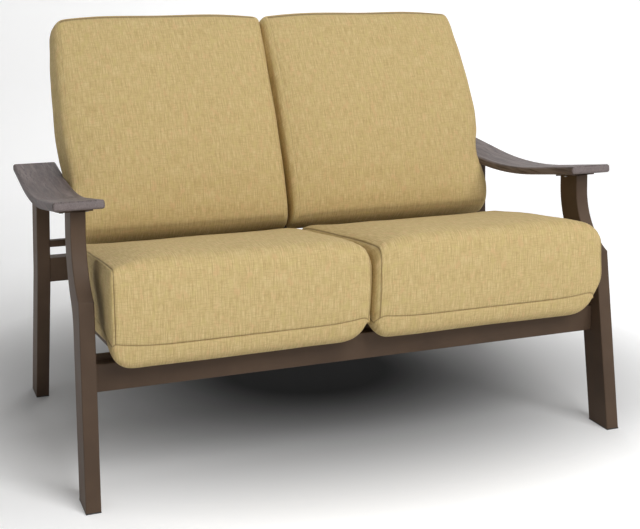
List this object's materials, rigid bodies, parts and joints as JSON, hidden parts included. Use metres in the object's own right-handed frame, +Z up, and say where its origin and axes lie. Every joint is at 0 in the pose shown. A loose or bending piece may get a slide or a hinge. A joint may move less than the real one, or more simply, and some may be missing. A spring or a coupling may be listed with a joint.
{
  "type": "patio loveseat",
  "caption": "Two-seat patio sofa: painted metal side frames and cross rails, dished wood-look arms, strapped seats and raked backs, and loose fabric seat and back cushions.",
  "frame": {"origin": "on the floor, under the middle of the whole part's outline", "axes": "+X to the right as seen from the front, across both seats; +Y from the front feet to the back; +Z up"},
  "size_m": [1.3066, 0.8513, 0.9538],
  "materials": {
    "frame": "satin powder coat, dark brown",
    "arm": "grey-brown resin with a brushed wood grain",
    "strap": "matte extruded strap, dark brown",
    "plastic": "matte moulded, near black",
    "steel": "plain steel fasteners",
    "rivet": "plain aluminium rivets",
    "cover": "heathered woven cloth, straw yellow",
    "foam": "open-cell foam core with a fibre wrap"
  },
  "bodies": {
    "root": {"arm_left": "arm", "arm_plate_front_left": "frame", "arm_plate_front_right": "frame", "arm_plate_rear_left": "frame", "arm_plate_rear_right": "frame", "arm_right": "arm", "arm_screws": "steel", "back_cross_bar": "frame", "back_cushion_left": "cover", "back_cushion_right": "cover", "back_foam_left": "foam", "back_foam_right": "foam", "back_strap_rivets_left": "rivet", "back_strap_rivets_right": "rivet", "back_straps_left": "strap", "back_straps_right": "strap", "back_upright_left_inner": "frame", "back_upright_left_outer": "frame", "back_upright_right_inner": "frame", "back_upright_right_outer": "frame", "centre_spacers": "frame", "front_glide_left": "plastic", "front_glide_right": "plastic", "front_leg_left": "frame", "front_leg_right": "frame", "front_rail": "frame", "rear_glide_left": "plastic", "rear_glide_right": "plastic", "rear_leg_left": "frame", "rear_leg_right": "frame", "rear_rail": "frame", "rear_rail_spacers": "frame", "seat_cushion_left": "cover", "seat_cushion_right": "cover", "seat_foam_left": "foam", "seat_foam_right": "foam", "seat_rail_left_inner": "frame", "seat_rail_left_outer": "frame", "seat_rail_right_inner": "frame", "seat_rail_right_outer": "frame", "seat_strap_rivets_left": "rivet", "seat_strap_rivets_right": "rivet", "seat_straps_left": "strap", "seat_straps_right": "strap", "top_rail_left": "frame", "top_rail_right": "frame", "upright_cap_left_inner": "plastic", "upright_cap_left_outer": "plastic", "upright_cap_right_inner": "plastic", "upright_cap_right_outer": "plastic"}
  },
  "joints": []
}
